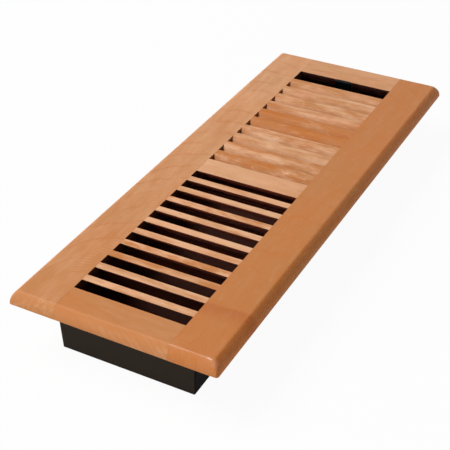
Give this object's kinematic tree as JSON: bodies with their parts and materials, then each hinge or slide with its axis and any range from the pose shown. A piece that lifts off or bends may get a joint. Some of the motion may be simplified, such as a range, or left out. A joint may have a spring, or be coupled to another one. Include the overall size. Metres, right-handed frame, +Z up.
{
  "type": "floor register",
  "caption": "Drop-in wooden floor register with two-way louvre slats in a round-edged frame, over a black damper box whose linked blades a lever opens and shuts.",
  "frame": {"origin": "middle of the part's box in plan, at the bottom rim of the damper box", "axes": "+Z up through the louvre face, +Y along the plate towards the lever end, +X across the plate"},
  "size_m": [0.1442, 0.3844, 0.047],
  "materials": {
    "maple": "satin varnish",
    "black_plastic": "satin",
    "staple_steel": "zinc plated"
  },
  "bodies": {
    "register": {"right_stile": "maple", "left_stile": "maple", "near_rail": "maple", "centre_rail": "maple", "far_rail": "maple", "near_slat_01": "maple", "near_slat_02": "maple", "near_slat_03": "maple", "near_slat_04": "maple", "near_slat_05": "maple", "near_slat_06": "maple", "near_slat_07": "maple", "near_slat_08": "maple", "near_slat_09": "maple", "near_slat_10": "maple", "far_slat_01": "maple", "far_slat_02": "maple", "far_slat_03": "maple", "far_slat_04": "maple", "far_slat_05": "maple", "far_slat_06": "maple", "far_slat_07": "maple", "far_slat_08": "maple", "far_slat_09": "maple", "far_slat_10": "maple", "damper_box": "black_plastic", "box_staples": "staple_steel"},
    "blade_01": {"blade_01": "black_plastic"},
    "blade_02": {"blade_02": "black_plastic"},
    "blade_03": {"blade_03": "black_plastic"},
    "blade_04": {"blade_04": "black_plastic"},
    "blade_05": {"blade_05": "black_plastic"},
    "blade_06": {"blade_06": "black_plastic"},
    "blade_07": {"blade_07": "black_plastic"},
    "blade_08": {"blade_08": "black_plastic"},
    "blade_09": {"blade_09": "black_plastic"},
    "blade_10": {"blade_10": "black_plastic"},
    "blade_11": {"blade_11": "black_plastic"},
    "blade_12": {"blade_12": "black_plastic"},
    "linkage": {"link_bar": "black_plastic", "damper_lever": "black_plastic"}
  },
  "joints": [
    {"name": "blade_01_turn", "type": "hinge", "parent": "register", "child": "blade_01", "pos_m": [0, -0.15829, 0.01577], "axis": [1, 0, 0], "range_deg": [0, 85]},
    {"name": "blade_02_turn", "type": "hinge", "parent": "register", "child": "blade_02", "pos_m": [0, -0.12956, 0.01577], "axis": [1, 0, 0], "range_deg": [0, 85]},
    {"name": "blade_03_turn", "type": "hinge", "parent": "register", "child": "blade_03", "pos_m": [0, -0.10082, 0.01577], "axis": [1, 0, 0], "range_deg": [0, 85]},
    {"name": "blade_04_turn", "type": "hinge", "parent": "register", "child": "blade_04", "pos_m": [0, -0.07209, 0.01577], "axis": [1, 0, 0], "range_deg": [0, 85]},
    {"name": "blade_05_turn", "type": "hinge", "parent": "register", "child": "blade_05", "pos_m": [0, -0.04335, 0.01577], "axis": [1, 0, 0], "range_deg": [0, 85]},
    {"name": "blade_06_turn", "type": "hinge", "parent": "register", "child": "blade_06", "pos_m": [0, -0.01462, 0.01577], "axis": [1, 0, 0], "range_deg": [0, 85]},
    {"name": "blade_07_turn", "type": "hinge", "parent": "register", "child": "blade_07", "pos_m": [0, 0.01412, 0.01577], "axis": [1, 0, 0], "range_deg": [0, 85]},
    {"name": "blade_08_turn", "type": "hinge", "parent": "register", "child": "blade_08", "pos_m": [0, 0.04285, 0.01577], "axis": [1, 0, 0], "range_deg": [0, 85]},
    {"name": "blade_09_turn", "type": "hinge", "parent": "register", "child": "blade_09", "pos_m": [0, 0.07159, 0.01577], "axis": [1, 0, 0], "range_deg": [0, 85]},
    {"name": "blade_10_turn", "type": "hinge", "parent": "register", "child": "blade_10", "pos_m": [0, 0.10032, 0.01577], "axis": [1, 0, 0], "range_deg": [0, 85]},
    {"name": "blade_11_turn", "type": "hinge", "parent": "register", "child": "blade_11", "pos_m": [0, 0.12906, 0.01577], "axis": [1, 0, 0], "range_deg": [0, 85]},
    {"name": "damper_turn", "type": "hinge", "parent": "register", "child": "blade_12", "pos_m": [0, 0.15779, 0.01577], "axis": [1, 0, 0], "range_deg": [0, 85]},
    {"name": "link_swing", "type": "hinge", "parent": "blade_12", "child": "linkage", "pos_m": [0.04267, 0.16252, 0.02093], "axis": [1, 0, 0], "range_deg": [-85, 0]}
  ],
  "couplings": [
    {"joint": "blade_01_turn", "follows": "damper_turn", "ratio": 1},
    {"joint": "blade_02_turn", "follows": "damper_turn", "ratio": 1},
    {"joint": "blade_03_turn", "follows": "damper_turn", "ratio": 1},
    {"joint": "blade_04_turn", "follows": "damper_turn", "ratio": 1},
    {"joint": "blade_05_turn", "follows": "damper_turn", "ratio": 1},
    {"joint": "blade_06_turn", "follows": "damper_turn", "ratio": 1},
    {"joint": "blade_07_turn", "follows": "damper_turn", "ratio": 1},
    {"joint": "blade_08_turn", "follows": "damper_turn", "ratio": 1},
    {"joint": "blade_09_turn", "follows": "damper_turn", "ratio": 1},
    {"joint": "blade_10_turn", "follows": "damper_turn", "ratio": 1},
    {"joint": "blade_11_turn", "follows": "damper_turn", "ratio": 1},
    {"joint": "link_swing", "follows": "damper_turn", "ratio": -1}
  ]
}
